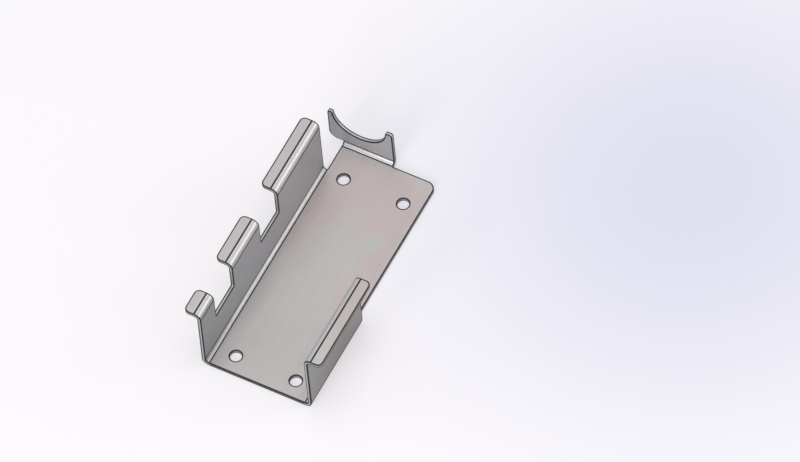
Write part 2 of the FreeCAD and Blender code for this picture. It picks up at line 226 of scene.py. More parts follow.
class SteelLook(bpy.types.PropertyGroup):
    """Colours and surface of the sheet."""
    steel: colour("Steel", "Colour of the rolled surface", (0.465, 0.449, 0.437))
    # The warm, green, cool side and warm side colours are painted reflection tints that stand in for the
    # light each face reflects
    warm: colour("Warm tint", "Faint warm tint of the plating", (0.485, 0.42, 0.41))
    green: colour("Green tint", "Faint green tint of the plating", (0.455, 0.457, 0.427))
    cool_side: colour("Cool side", "Plating on the left wall and the rear flange", (0.432, 0.433, 0.450))
    warm_side: colour("Warm side", "Plating on the right wall and its lip", (0.444, 0.403, 0.393))
    # Bright colour for the scratches, which is wear, and for the folds, where it is painted highlight and
    # partly tool burnish
    burnished_and_sheened: colour("Burnished steel", "Steel that the tools have rubbed bright", (0.60, 0.60, 0.60))
    sheared: colour("Sheared steel", "Smooth upper part of a sheared edge", (0.62, 0.615, 0.61))
    torn: colour("Torn steel", "Dull lower part of a sheared edge", (0.46, 0.457, 0.455))
    line: colour("Line", "Dark line along the sheared edges and the folds", (0.02, 0.02, 0.022))
    line_strength: share("Line strength", "How dark the lines along edges and folds are", 0.95)
    line_width: length("Line width", "Full dark line beside a sheared edge", 0.60 * MM)
    line_fade: length("Line fade", "Strip over which that line fades", 0.22 * MM)
    roughness: share("Roughness", "Roughness of the rolled surface", 0.42)
    metallic: share("Metallic", "How metallic the surface is between the lines", 0.6)


class StageLook(bpy.types.PropertyGroup):
    """The camera, the floor and the light."""
    azimuth: angle("Azimuth", "Camera's turn round the bracket; 0 looks along +Y", -57.45)
    elevation: angle("Elevation", "Camera's height above the horizon", 57.31)
    roll: angle("Roll", "Camera's turn about its own axis", 5.94)
    focal_length: bpy.props.FloatProperty(
        name="Focal length", description="Long lens, so that parallel edges stay parallel", default=850.0,
        min=1.0, unit="CAMERA")
    floor: colour("Floor", "Colour of the floor", (0.78, 0.765, 0.785))
    floor_cool: colour("Cool floor", "Colour of the floor where it is coolest", (0.60, 0.60, 0.70))
    floor_bounce: colour("Floor bounce", "Colour of the floor in the light it sends back", (0.45, 0.45, 0.46))
    floor_light: strength("Floor light", "Light that falls on the open floor", 1.22)
    floor_glow: share("Floor glow", "Share of the floor's light that comes from within it", 0.5)
    floor_size: length("Floor size", "Side of the square floor", 6.0)
    cool_place: bpy.props.FloatVectorProperty(
        name="Cool place", description="Where the floor is coolest", default=(0.133, -0.147, 0.0), size=3,
        subtype="TRANSLATION", unit="LENGTH")
    cool_reach: length("Cool reach", "How far the floor is cooler round that place", 0.23)
    sky: colour("Sky", "Colour of the even light from all round", (0.97, 0.97, 1.0))
    sky_strength: strength("Sky strength", "Strength of the even light from all round", 0.74)
    lamp_distance: length("Lamp distance", "How far from the bracket the lamps stand", 2.4)
    overhead: direction("Overhead lamp", "Where the overhead lamp stands", (0.0, 0.0, 1.0))
    overhead_size: length("Overhead size", "Side of the overhead lamp", 1.4)
    overhead_power: strength("Overhead power", "Power of the overhead lamp", 17.7)
    overhead_tint: colour("Overhead tint", "Colour of the overhead lamp", (1.0, 0.99, 0.97))
    right: direction("Right lamp", "Where the right lamp stands", (0.455, -0.78, 0.43))
    right_size: length("Right size", "Side of the right lamp", 1.0)
    right_power: strength("Right power", "Power of the right lamp", 8.5)
    right_tint: colour("Right tint", "Colour of the right lamp", (0.98, 0.95, 1.0))
    front: direction("Front lamp", "Where the front lamp stands", (-0.93, 0.04, 0.35))
    front_size: length("Front size", "Side of the front lamp", 1.0)
    front_power: strength("Front power", "Power of the front lamp", 36.5)
    front_tint: colour("Front tint", "Colour of the front lamp", (1.0, 1.0, 1.0))


def turn(centre, radius, first, last, step=ARC_STEP):
    """An arc of the blank's outline, as points and outward normals.

    A normal turns evenly from the first angle to the last. Where it turns to the left the corner is convex,
    and each point lies at centre + radius * normal. Where it turns to the right the corner is hollow, and
    each point lies at centre - radius * normal.
    """
    count = max(FEWEST_ARC_STEPS, math.ceil(abs(last - first) * radius / step)) + 1
    angles = np.linspace(first, last, count)
    normals = np.column_stack((np.cos(angles), np.sin(angles)))
    return np.asarray(centre) + math.copysign(radius, last - first) * normals, normals


def round_corners(corners):
    """One arc for each inner corner of a path of square corners: (along, across, radius)."""
    arcs = []
    for before, corner, after in zip(corners, corners[1:], corners[2:]):
        point = np.array(corner[:2])
        entering = np.sign(np.round(point - before[:2], DIRECTION_DIGITS))
        leaving = np.sign(np.round(np.array(after[:2]) - point, DIRECTION_DIGITS))
        convex = entering[0] * leaving[1] - entering[1] * leaving[0]
        first = math.atan2(-entering[0], entering[1])
        last = first + convex * QUARTER
        sides = np.array([entering[1] + leaving[1], -entering[0] - leaving[0]])
        arcs.append(turn(point - convex * corner[2] * sides, corner[2], first, last))
    return arcs


def close_loop(arcs, fold_lines):
    """The outline through all arcs, with a point wherever a straight stretch crosses a fold line.

    Where one arc ends as the next begins, their shared point is kept once.
    """
    points, normals = [], []
    for (here, normal), (after, _) in zip(arcs, arcs[1:] + arcs[:1]):
        start, end = here[-1], after[0]
        axis = int(abs(end[1] - start[1]) > abs(end[0] - start[0]))
        low, high = sorted((start[axis], end[axis]))
        lines = fold_lines[axis]
        lines = lines[(lines > low + CORNER_CLEARANCE) & (lines < high - CORNER_CLEARANCE)]
        crossings = np.tile(start, (len(lines), 1))
        crossings[:, axis] = lines if end[axis] > start[axis] else lines[::-1]
        points += [here, crossings]
        normals += [normal, np.tile(normal[-1], (len(lines), 1))]
    points, normals = np.vstack(points), np.vstack(normals)
    apart = np.linalg.norm(points - np.roll(points, 1, axis=0), axis=1) > MERGE_DISTANCE
    return points[apart], normals[apart]


class Blank:
    """The flat blank of the bracket: its outline, its holes and the lines that it is folded on.

    Along is the rolling direction, from front to rear, across runs to the left, and both are measured on the
    sheet's middle surface.
    """

    def __init__(self, sizes):
        self.sizes = sizes
        self.fold_radius = sizes.bend_radius + sizes.thickness / 2
        self.arc = QUARTER * self.fold_radius
        self.outer_radius = sizes.bend_radius + sizes.thickness
        self.half_width = sizes.reach - sizes.lip_width - 2 * self.fold_radius
        self.upright = sizes.height - 2 * self.outer_radius
        self.rear = sizes.rear - self.outer_radius
        self.front = -sizes.front
        self.left_end = self.front + sizes.left_wall
        self.right_end = self.front + sizes.right_wall
        self.flange_right = CRADLE.y - sizes.cradle_radius - sizes.right_tip
        first_notch = self.front + sizes.notch_inset
        notch_fronts = [first_notch + number * sizes.notch_pitch for number in range(NOTCH_COUNT)]
        self.notches = [(notch, notch + sizes.notch_width) for notch in notch_fronts]
        self.second_fold = self.arc + self.upright
        self.fold_lines = self.divide_folds()

    def path(self, distance, upright):
        """Middle line of the sheet past a fold: how far out, how far up and its slope, at each distance.

        The line turns up through a quarter circle, rises straight over the upright's length, turns back
        through a second quarter circle and runs on level. Before the fold the distance is negative and the
        line is level.
        """
        first = np.clip(distance / self.fold_radius, 0, QUARTER)
        rise = np.clip(distance - self.arc, 0, upright)
        second = np.clip((distance - self.arc - upright) / self.fold_radius, 0, QUARTER)
        level = np.minimum(distance, 0) + np.maximum(distance - 2 * self.arc - upright, 0)
        out = level + self.fold_radius * (np.sin(first) + 1 - np.cos(second))
        up = rise + self.fold_radius * (1 - np.cos(first) + np.sin(second))
        return out, up, first - second

    def fold(self, flat, facing):
        """Folds points of the flat blank and the ways they face.

        Each point lies on the folded middle line, moved along the sheet's own normal by its depth. The rear
        flange turns about a line across the blank, and everything else about lines along it.
        """
        along, across, depth = flat.T
        ahead, aside, above = facing.T
        rear = along > self.rear
        side = np.sign(across)
        out, up, slope = self.path(np.abs(across) - self.half_width, self.upright)
        rear_out, rear_up, rear_slope = self.path(along - self.rear, np.inf)
        sine, cosine = np.sin(slope), np.cos(slope)
        rear_sine, rear_cosine = np.sin(rear_slope), np.cos(rear_slope)

        heights = np.where(rear, rear_up + depth * rear_cosine, up + depth * cosine)
        points = np.column_stack((
            np.where(rear, self.rear + rear_out - depth * rear_sine, along),
            np.where(rear, across, side * (self.half_width + out - depth * sine)),
            self.sizes.thickness / 2 + heights))
        normals = np.column_stack((
            np.where(rear, ahead * rear_cosine - above * rear_sine, ahead),
            np.where(rear, aside, aside * cosine - side * above * sine),
            np.where(rear, ahead * rear_sine + above * rear_cosine, side * aside * sine + above * cosine)))
        return points, normals

    def flat_height(self, height):
        """How far past its fold a point of an upright lies, for its height above the underside."""
        return self.arc + height - self.outer_radius

    def divide_folds(self):
        """Places along and across the blank where it is divided: in its folds and at the tool's marks."""
        level = self.sizes.mark_width * np.array((-1, 0, 1))
        wall = self.sizes.wall_mark * np.array((-1, 0, 1))
        inside = self.arc * np.arange(1, FOLD_STEPS) / FOLD_STEPS
        first = np.sort(np.concatenate((level, inside, self.arc + wall)))
        second = self.second_fold + np.sort(np.concatenate((wall, inside, self.arc + level)))
        across = self.half_width + np.concatenate((first, second))
        return self.rear + first, np.concatenate((-across[::-1], across))

    def fold_segments(self):
        """The fold lines as straight segments that stop just inside the blank's outline: (starts, ends)."""
        gap = self.sizes.edge_gap
        along, across = self.fold_lines
        first, second = np.split(across[len(across) // 2:], 2)
        bounds = np.array([self.front, *sum(self.notches, ()), self.left_end]).reshape(-1, 2)
        spans = [(first, self.front, self.left_end)] + [(second, *tab) for tab in bounds]
        spans += [(-lines, self.front, self.right_end) for lines in (first, second)]
        starts = [np.column_stack((np.full(len(lines), start + gap), lines)) for lines, start, _ in spans]
        ends = [np.column_stack((np.full(len(lines), end - gap), lines)) for lines, _, end in spans]
        starts.append(np.column_stack((along, np.full(len(along), self.flange_right + gap))))
        ends.append(np.column_stack((along, np.full(len(along), self.half_width - gap))))
        return np.vstack(starts), np.vstack(ends)

    def outline(self):
        """The outer edge of the blank, against the clock from the flange's left tip."""
        sizes = self.sizes
        sharp, lip = sizes.cut_corner, sizes.lip_corner
        lip_edge = self.half_width + self.second_fold + self.arc + sizes.lip_width
        floor = self.half_width + self.flat_height(sizes.notch_floor)
        plate, top = self.rear + self.arc, self.rear + self.flat_height(CRADLE.z)
        cradle_left, cradle_right = CRADLE.y + sizes.cradle_radius, CRADLE.y - sizes.cradle_radius
        flange_left = cradle_left + sizes.left_tip

        corners = [
            (top, cradle_left, 0), (top, flange_left, sizes.tip_outer),
            (plate, flange_left, sizes.flange_corner), (plate, self.half_width, sharp),
            (self.left_end, self.half_width, sharp), (self.left_end, lip_edge, lip)]
        for notch_front, notch_rear in reversed(self.notches):
            corners += [(notch_rear, lip_edge, lip), (notch_rear, floor, sharp),
                        (notch_front, floor, sharp), (notch_front, lip_edge, lip)]
        corners += [
            (self.front, lip_edge, lip), (self.front, -lip_edge, lip),
            (self.right_end, -lip_edge, lip), (self.right_end, -self.half_width, sharp),
            (self.rear, -self.half_width, sizes.base_corner), (self.rear, self.flange_right, sharp),
            (top, self.flange_right, sizes.tip_outer), (top, cradle_right, 0)]
        return close_loop(round_corners(corners) + self.cradle(top), self.fold_lines)

    def cradle(self, top):
        """The half-round cradle, with a small arc at each end that touches it and the tip's straight edge."""
        radius, inner = self.sizes.cradle_radius, self.sizes.tip_inner
        lean = math.asin(inner / (radius + inner))
        offset = math.cos(lean) * (radius + inner)
        return [turn((top - inner, CRADLE.y - offset), inner, 0, QUARTER - lean),
                turn((top, CRADLE.y), radius, QUARTER - lean, lean - QUARTER, step=CRADLE_STEP),
                turn((top - inner, CRADLE.y + offset), inner, lean - QUARTER, 0)]

    def holes(self):
        """The four bolt holes, each with the clock."""
        half_length, half_width = BOLTS["spacing_x_mm"] * MM / 2, BOLTS["spacing_y_mm"] * MM / 2
        circles = [turn((ahead, aside), BOLTS["hole_r_mm"] * MM, 0, -4 * QUARTER)
                   for ahead in (-half_length, half_length) for aside in (-half_width, half_width)]
        return [(points[:-1], normals[:-1]) for points, normals in circles]

    def edges(self):
        """Every edge of the blank: points, outward normals, and the number of the point after each one."""
        loops = [self.outline()] + self.holes()
        counts = np.array([len(points) for points, _ in loops])
        firsts = np.cumsum(counts) - counts
        rounds = [first + np.roll(np.arange(count), -1) for first, count in zip(firsts, counts)]
        points, normals = (np.vstack(parts) for parts in zip(*loops))
        return points, normals, np.concatenate(rounds)


def is_inside(points, starts, ends):
    """Whether each point lies inside closed loops.

    A ray from such a point, along the first axis, crosses the loops an odd number of times.
    """
    rises = (starts[:, 1] > points[:, 1:]) != (ends[:, 1] > points[:, 1:])
    run = np.where(ends[:, 1] == starts[:, 1], 1.0, ends[:, 1] - starts[:, 1])
    crossing = starts[:, 0] + (points[:, 1:] - starts[:, 1]) * (ends[:, 0] - starts[:, 0]) / run
    return np.sum(rises & (crossing > points[:, :1]), axis=1) % 2 == 1


def triangulate(blank, points, normals, following):
    """Fills the blank with triangles, up to a small inset from its edges.

    Closed loops at three insets and the fold lines are kept as sides of triangles. Gives the vertices, the
    triangles, each vertex's distance from the nearest edge, cut off at the largest inset, and for each point
    of the edges the number of its vertex at the smallest inset.
    """
    sizes = blank.sizes
    insets = (sizes.die_roll, sizes.edge_gap, sizes.edge_reach)
    loops = np.vstack([points - inset * normals for inset in insets])
    starts, ends = blank.fold_segments()
    coords = np.vstack((loops, starts, ends))
    here = np.arange(len(points))
    first_line = len(loops) + np.arange(len(starts))
    sides = [np.column_stack((here, following)) + number * len(points) for number in range(len(insets))]
    sides.append(np.column_stack((first_line, first_line + len(starts))))

    found, _, faces, origins, _, _ = delaunay_2d_cdt(
        [Vector(pair) for pair in coords.tolist()], np.vstack(sides).tolist(), [], 0, MERGE_DISTANCE, True)
    vertices, faces = np.array([tuple(vertex) for vertex in found]), np.array(faces)
    owner = np.repeat(np.arange(len(origins)), [len(group) for group in origins])
    place = np.zeros(len(coords), int)
    place[np.concatenate(origins).astype(int)] = owner
    vertices[place] = coords

    distance = np.full(len(vertices), sizes.edge_reach)
    distance[place[:len(loops)]] = np.repeat(insets, len(points))
    inner = loops[:len(points)]
    kept = faces[is_inside(vertices[faces].mean(1), inner, inner[following])]
    return vertices, kept, distance, place[:len(points)]


def rim_profile(sizes):
    """The cut edge's section, from top to bottom: how far inside the outline, how high, which way it faces.

    The upper arris is a quarter circle of the die roll's radius, where the die drew the sheet down. The cut
    goes straight down to the burr, which is broken to a smaller quarter circle.
    """
    half = sizes.thickness / 2
    lean = np.linspace(0, QUARTER, RIM_STEPS + 1)
    back = lean[::-1]
    roll, burr = sizes.die_roll, sizes.burr_break
    inset = np.concatenate((roll * (1 - np.sin(lean)), burr * (1 - np.sin(back)), [roll]))
    height = np.concatenate((half - roll * (1 - np.cos(lean)), burr * (1 - np.cos(back)) - half, [-half]))
    outward = np.concatenate((np.sin(lean), np.sin(back), [0]))
    upward = np.concatenate((np.cos(lean), -np.cos(back), [-1]))
    return inset, height, outward, upward


def flat_sheet(blank):
    """The whole surface of the flat sheet: positions, facings, edge distances, faces and which ones are cut.

    The same triangles, turned over, close the underside. Rows of quads down the cut edge join the two skins.
    """
    points, normals, following = blank.edges()
    skin, triangles, distance, rim = triangulate(blank, points, normals, following)
    inset, height, outward, upward = rim_profile(blank.sizes)
    half = blank.sizes.thickness / 2
    count, around, rows = len(skin), len(points), len(inset)
    between = range(1, rows - 1)

    top = np.column_stack((skin, np.full(count, half)))
    bottom = top * (1, 1, -1)
    rings = [np.column_stack((points - inset[row] * normals, np.full(around, height[row])))
             for row in between]
    turned = [np.column_stack((outward[row] * normals, np.full(around, upward[row])))
              for row in between]
    positions = np.vstack((top, bottom, *rings))
    facings = np.vstack((np.tile((0, 0, 1), (count, 1)), np.tile((0, 0, -1), (count, 1)), *turned))
    distances = np.concatenate((distance, distance, np.repeat(inset[1:-1], around)))

    ring_rows = 2 * count + np.arange((rows - 2) * around).reshape(rows - 2, around)
    ladder = np.vstack((rim, ring_rows, rim + count))
    upper, lower = ladder[:-1], ladder[1:]
    quads = np.stack((upper, lower, lower[:, following], upper[:, following]), axis=-1)
    cut = np.zeros(quads.shape[:2], bool)
    cut[RIM_STEPS:rows - 2] = True
    faces = triangles.tolist() + (triangles[:, ::-1] + count).tolist() + quads.reshape(-1, 4).tolist()
    is_cut = np.concatenate((np.zeros(2 * len(triangles), bool), cut.ravel()))
    return positions, facings, distances, faces, is_cut


def fold_masks(blank, flat):
    """Two masks of the flat sheet: 1 inside the folds, and 1 along the lines where the folds begin and end.

    The first rises across each such line. The second falls off over the mark's half width, which is larger
    where a fold meets an upright than where it meets a level part.
    """
    mark, wall_mark = blank.sizes.mark_width, blank.sizes.wall_mark
    along, across = flat[:, 0], flat[:, 1]
    is_rear = along > blank.rear - 2 * mark
    beyond = np.where(is_rear, along - blank.rear, np.abs(across) - blank.half_width)
    is_second = ~is_rear & (beyond > blank.arc + blank.upright / 2)
    starts = np.where(is_second, blank.second_fold, 0.0)
    past_start, before_end = beyond - starts, starts + blank.arc - beyond
    inside = np.clip(np.minimum(past_start, before_end) / (2 * mark) + 0.5, 0, 1)
    start_mark = np.where(is_second, wall_mark, mark)
    end_mark = np.where(is_second, mark, wall_mark)
    nearest = np.minimum(np.abs(past_start) / start_mark, np.abs(before_end) / end_mark)
    return inside, 1 - np.clip(nearest, 0, 1)


def make_mesh(name, positions, normals, faces, material_numbers, attributes):
    """A mesh object from whole arrays, smooth-shaded with the given normals."""
    mesh = bpy.data.meshes.new(name)
    mesh.from_pydata(positions.tolist(), [], faces)
    if mesh.validate():
        raise ValueError(f"{name} has faces with repeated points")
    mesh.polygons.foreach_set("material_index", material_numbers.astype(np.int32))
    for label, values in attributes.items():
        kind, field = ("FLOAT", "value") if values.ndim == 1 else ("FLOAT_VECTOR", "vector")
        attribute = mesh.attributes.new(label, kind, "POINT")
        attribute.data.foreach_set(field, values.astype(np.float32).ravel())
    mesh.shade_smooth()
    mesh.normals_split_custom_set_from_vertices(normals.tolist())
    mesh.update()
    piece = bpy.data.objects.new(name, mesh)
    bpy.context.scene.collection.objects.link(piece)
    return piece


def fold_bracket(sizes):
    """The folded sheet as one piece, with the flat blank's coordinates and masks kept as attributes."""
    blank = Blank(sizes)
    flat, facings, distances, faces, is_cut = flat_sheet(blank)
    folded, normals = blank.fold(flat, facings)
    inside, mark = fold_masks(blank, flat)
    attributes = {"blank": flat, "edge_distance": distances, "fold": inside, "fold_mark": mark}
    return make_mesh("bracket_sheet", folded, normals, faces, is_cut, attributes)


def new_group(name, inputs, outputs):
    """An empty shader node group with the given sockets, and its input and output nodes."""
    group = bpy.data.node_groups.new(name, "ShaderNodeTree")
    for label, kind, default in inputs:
        group.interface.new_socket(label, in_out="INPUT", socket_type=kind).default_value = default
    for label, kind in outputs:
        group.interface.new_socket(label, in_out="OUTPUT", socket_type=kind)
    return group, group.nodes.new("NodeGroupInput"), group.nodes.new("NodeGroupOutput")


def add_node(tree, kind, settings=None, **links):
    """A node with its settings, and its inputs either linked from a socket or set to a value.

    An input is named by its label in small letters with underscores, or by its number as n0, n1 and so on.
    """
    node = tree.nodes.new(kind)
    for name, value in (settings or {}).items():
        setattr(node, name, value)
    labels = {socket.name.lower().replace(" ", "_"): socket for socket in reversed(node.inputs)}
    labels.update({f"n{number}": socket for number, socket in enumerate(node.inputs)})
    for name, value in links.items():
        if isinstance(value, bpy.types.NodeSocket):
            tree.links.new(value, labels[name])
        else:
            labels[name].default_value = value
    return node


def calculate(tree, operation, first, second=0.0):
    """One step of arithmetic."""
    return add_node(tree, "ShaderNodeMath", {"operation": operation}, n0=first, n1=second).outputs[0]


def multiply(tree, first, second):
    """The product of two values."""
    return calculate(tree, "MULTIPLY", first, second)


def remap(tree, value, low, high, to_low=0.0, to_high=1.0):
    """A value moved from one range to another, smoothly and never past its ends."""
    node = add_node(tree, "ShaderNodeMapRange", {"interpolation_type": "SMOOTHSTEP"}, value=value,
                    from_min=low, from_max=high, to_min=to_low, to_max=to_high)
    return node.outputs["Result"]


def mix(tree, part, first, second):
    """Two colours mixed: the first where the part is 0, the second where it is 1."""
    return add_node(tree, "ShaderNodeMix", {"data_type": "RGBA"}, n0=part, n6=first, n7=second).outputs[2]


def scale(tree, vector, factor):
    """A vector or colour times a factor."""
    return add_node(tree, "ShaderNodeVectorMath", {"operation": "SCALE"}, n0=vector, scale=factor).outputs[0]


def read_attribute(tree, name, output="Fac"):
    """An attribute of the mesh."""
    return add_node(tree, "ShaderNodeAttribute", {"attribute_name": name}).outputs[output]


def noise(tree, place, pattern, turn_by=0.0, shifts=1):
    """A pattern's noise, at places in millimetres that are turned, and shifted as many times as given."""
    shift = shifts * pattern.shift
    mapping = add_node(tree, "ShaderNodeMapping", {"vector_type": "POINT"}, vector=place,
                       location=(shift, shift, 0.0), rotation=(0.0, 0.0, turn_by))
    waves = add_node(tree, "ShaderNodeVectorMath", {"operation": "MULTIPLY"}, n0=mapping.outputs[0],
                     n1=pattern.waves)
    return add_node(tree, "ShaderNodeTexNoise", vector=waves.outputs[0], scale=1.0,
                    detail=pattern.detail).outputs["Fac"]


def rolled_grain():
    """Streaks along the rolling direction: fine ones that roughen the sheet, and broad ones that shade it."""
    group, entry, result = new_group(
        "rolled_grain", [("Place", "NodeSocketVector", (0, 0, 0))],
        [("Shade", "NodeSocketFloat"), ("Height", "NodeSocketFloat")])
    fine = noise(group, entry.outputs["Place"], FINE_STREAKS)
    broad = noise(group, entry.outputs["Place"], BROAD_STREAKS)
    shade = calculate(group, "ADD", multiply(group, fine, FINE_SHARE), multiply(group, broad, BROAD_SHARE))
    group.links.new(shade, result.inputs["Shade"])
    group.links.new(fine, result.inputs["Height"])
    return group


def plating_tint():
    """Very faint painted reflection tints, in patches and face by face.

    The warm patches lie on the base and grow to the rear. The left wall and the rear flange are a little
    cooler than the base, and the right wall and its lip turn warmer away from the front. These painted
    tints stand in for the light that each face reflects.
    """
    colours = ("Steel", "Warm", "Green", "Cool Side", "Warm Side")
    group, entry, result = new_group(
        "plating_tint",
        [("Place", "NodeSocketVector", (0, 0, 0))]
        + [(label, "NodeSocketColor", (1, 1, 1, 1)) for label in colours],
        [("Colour", "NodeSocketColor")])
    place = entry.outputs["Place"]
    parts = add_node(group, "ShaderNodeSeparateXYZ", vector=place).outputs
    along, across = parts["X"], parts["Y"]

    base = multiply(group, remap(group, calculate(group, "ABSOLUTE", across), *BASE_SIDE),
                    remap(group, along, *BASE_REAR))
    patches = calculate(group, "ADD", noise(group, place, WARM_PATCHES), multiply(group, along, WARM_DRIFT))
    warm = multiply(group, remap(group, patches, *WARM_LEVELS), base)
    green = remap(group, noise(group, place, GREEN_PATCHES), *GREEN_LEVELS)
    left_wall = multiply(group, remap(group, across, *LEFT_WALL_FOOT), remap(group, across, *LEFT_WALL_TOP))
    cool_side = calculate(group, "MAXIMUM", left_wall, remap(group, along, *FLANGE_FOOT))
    warm_side = multiply(group, remap(group, across, *RIGHT_WALL_FOOT),
                         remap(group, along, *RIGHT_WALL_FRONT))

    tinted = entry.outputs["Steel"]
    for label, mask in zip(colours[1:], (warm, green, cool_side, warm_side)):
        tinted = mix(group, mask, tinted, entry.outputs[label])
    group.links.new(tinted, result.inputs["Colour"])
    return group


def handling_marks():
    """Sparse hair scratches in three directions, and soft smudges where the sheet was held."""
    group, entry, result = new_group(
        "handling_marks", [("Place", "NodeSocketVector", (0, 0, 0)), ("Amount", "NodeSocketFloat", 1.0)],
        [("Scratches", "NodeSocketFloat"), ("Smudges", "NodeSocketFloat")])
    place = entry.outputs["Place"]
    scratches = 0.0
    for number, degrees in enumerate(SCRATCH_TURNS):
        lines = noise(group, place, SCRATCHES, math.radians(degrees), shifts=number)
        scratches = calculate(group, "MAXIMUM", scratches, remap(group, lines, *SCRATCH_LEVELS))
    smudges = remap(group, noise(group, place, SMUDGES), *SMUDGE_LEVELS)
    for label, mask in (("Scratches", scratches), ("Smudges", smudges)):
        group.links.new(multiply(group, mask, entry.outputs["Amount"]), result.inputs[label])
    return group


def blank_place(tree):
    """The flat blank's coordinates in millimetres."""
    return scale(tree, read_attribute(tree, "blank", "Vector"), 1 / MM)


def new_material(name):
    """A material with only its output node."""
    material = bpy.data.materials.new(name)
    material.use_nodes = True
    material.node_tree.nodes.clear()
    return material, material.node_tree, material.node_tree.nodes.new("ShaderNodeOutputMaterial")


def place_group(tree, group, **links):
    """A node that places a group in a material."""
    return add_node(tree, "ShaderNodeGroup", {"node_tree": group}, **links)


def opaque(values):
    """A colour with full opacity, as colour sockets take it."""
    return (*values, 1.0)


def rolled_skin(look, groups):
    """Rolled steel: streaks, faint painted reflection tints, folds brightened by painted highlight and tool
    burnish, and dark lines beside the cut edges and folds.
    """
    material, tree, output = new_material("rolled_steel")
    place = blank_place(tree)
    distance = read_attribute(tree, "edge_distance")
    fold = read_attribute(tree, "fold")
    grain = place_group(tree, groups["grain"], place=place).outputs
    marks = place_group(tree, groups["marks"], place=place, amount=SKIN_MARKS).outputs
    # Painted reflection tints over the steel colour
    tint = place_group(
        tree, groups["tint"], place=place, steel=opaque(look.steel), warm=opaque(look.warm),
        green=opaque(look.green), cool_side=opaque(look.cool_side),
        warm_side=opaque(look.warm_side)).outputs["Colour"]

    shaded = scale(tree, tint, remap(tree, grain["Shade"], *STREAK_LEVELS, *SKIN_SHADES))
    # Painted highlight, partly tool burnish: the folds are mixed toward the bright colour
    burnished_and_sheened = mix(tree, multiply(tree, fold, FOLD_PAINTED_SHEEN), shaded, opaque(look.burnished_and_sheened))
    arris = remap(tree, distance, look.line_width, look.line_width + look.line_fade, 1.0, 0.0)
    line = calculate(
        tree, "MAXIMUM", arris, remap(tree, read_attribute(tree, "fold_mark"), *FOLD_LINE_LEVELS))
    lined = mix(tree, multiply(tree, line, look.line_strength), burnished_and_sheened, opaque(look.line))
    scratched = mix(tree, multiply(tree, marks["Scratches"], SCRATCH_SHINE), lined, opaque(look.burnished_and_sheened))

    rough = remap(tree, grain["Shade"], *STREAK_LEVELS, look.roughness - STREAK_ROUGHNESS,
                  look.roughness + STREAK_ROUGHNESS)
    rough = calculate(tree, "ADD", rough, multiply(tree, marks["Smudges"], SMUDGE_ROUGHNESS))
    rough = calculate(tree, "SUBTRACT", rough, multiply(tree, fold, FOLD_POLISH))
    height = calculate(
        tree, "SUBTRACT", grain["Height"], multiply(tree, marks["Scratches"], SCRATCH_DEPTH))
    bump = add_node(tree, "ShaderNodeBump", height=height, **SKIN_BUMP)
    shader = add_node(tree, "ShaderNodeBsdfPrincipled", base_color=scratched, roughness=rough,
                      normal=bump.outputs[0], metallic=calculate(tree, "MAXIMUM", line, look.metallic))
    tree.links.new(shader.outputs[0], output.inputs["Surface"])
    return material


def cut_edge(look, groups):
    """A sheared edge: a bright smooth band under the die roll, and below it a dull torn band, both streaked.

    Dark lines run along both its arrises, and are wider on the base's front edge, as in the photograph.
    """
    material, tree, output = new_material("cut_edge")
    place = blank_place(tree)
    parts = add_node(tree, "ShaderNodeSeparateXYZ", vector=place).outputs
    along, across, depth = parts["X"], parts["Y"], parts["Z"]
    streaks = noise(tree, place, TEARS)
    grit = noise(tree, place, GRIT)
    marks = place_group(tree, groups["marks"], place=place, amount=CUT_MARKS).outputs

    torn = remap(
        tree, calculate(tree, "ADD", depth, multiply(tree, streaks, TORN_WAVINESS)), *TORN_TOP)
    bands = mix(tree, torn, opaque(look.sheared), opaque(look.torn))
    shaded = scale(tree, bands, remap(tree, streaks, *STREAK_LEVELS, *CUT_SHADES))
    base_front = multiply(tree, remap(tree, along, *FRONT_STRIP),
                          remap(tree, calculate(tree, "ABSOLUTE", across), *BASE_STRIP))
    extra = multiply(tree, base_front, FRONT_LINE_EXTRA)
    upper = remap(tree, calculate(tree, "ADD", depth, extra), *UPPER_LINE)
    lower = remap(tree, calculate(tree, "SUBTRACT", depth, extra), *LOWER_LINE)
    line = calculate(tree, "MAXIMUM", upper, lower)
    lined = mix(tree, multiply(tree, line, look.line_strength), shaded, opaque(look.line))

    rough = calculate(tree, "ADD", remap(tree, torn, 0.0, 1.0, *CUT_ROUGHNESS),
                      multiply(tree, marks["Smudges"], CUT_SMUDGE_ROUGHNESS))
    height = calculate(
        tree, "ADD", streaks, multiply(tree, multiply(tree, grit, torn), GRIT_DEPTH))
    bump = add_node(tree, "ShaderNodeBump", height=height, **CUT_BUMP)
    shader = add_node(tree, "ShaderNodeBsdfPrincipled", base_color=lined, roughness=rough,
                      normal=bump.outputs[0], metallic=calculate(tree, "MAXIMUM", line, look.metallic))
    tree.links.new(shader.outputs[0], output.inputs["Surface"])
    return material


def floor_material(look):
    """Pale studio floor, cooler round one place, that sends back less light than the camera sees.

    To the camera a share of its light comes from within, which softens the shadows on it.
    """
    material, tree, output = new_material("studio_floor")
    place = add_node(tree, "ShaderNodeTexCoord").outputs["Object"]
    away = add_node(tree, "ShaderNodeVectorMath", {"operation": "DISTANCE"}, n0=place, n1=look.cool_place)
    coolness = remap(tree, away.outputs["Value"], 0.0, look.cool_reach, 1.0, 0.0)
    tone = mix(tree, coolness, opaque(look.floor), opaque(look.floor_cool))
    seen = add_node(tree, "ShaderNodeLightPath").outputs["Is Camera Ray"]
    dimmed = scale(tree, tone, 1 - look.floor_glow)
    diffuse = add_node(
        tree, "ShaderNodeBsdfDiffuse", color=mix(tree, seen, opaque(look.floor_bounce), dimmed))
    glow = multiply(tree, seen, look.floor_light * look.floor_glow)
    emission = add_node(tree, "ShaderNodeEmission", color=tone, strength=glow)
    both = add_node(tree, "ShaderNodeAddShader", n0=diffuse.outputs[0], n1=emission.outputs[0])
    tree.links.new(both.outputs[0], output.inputs["Surface"])
    return material


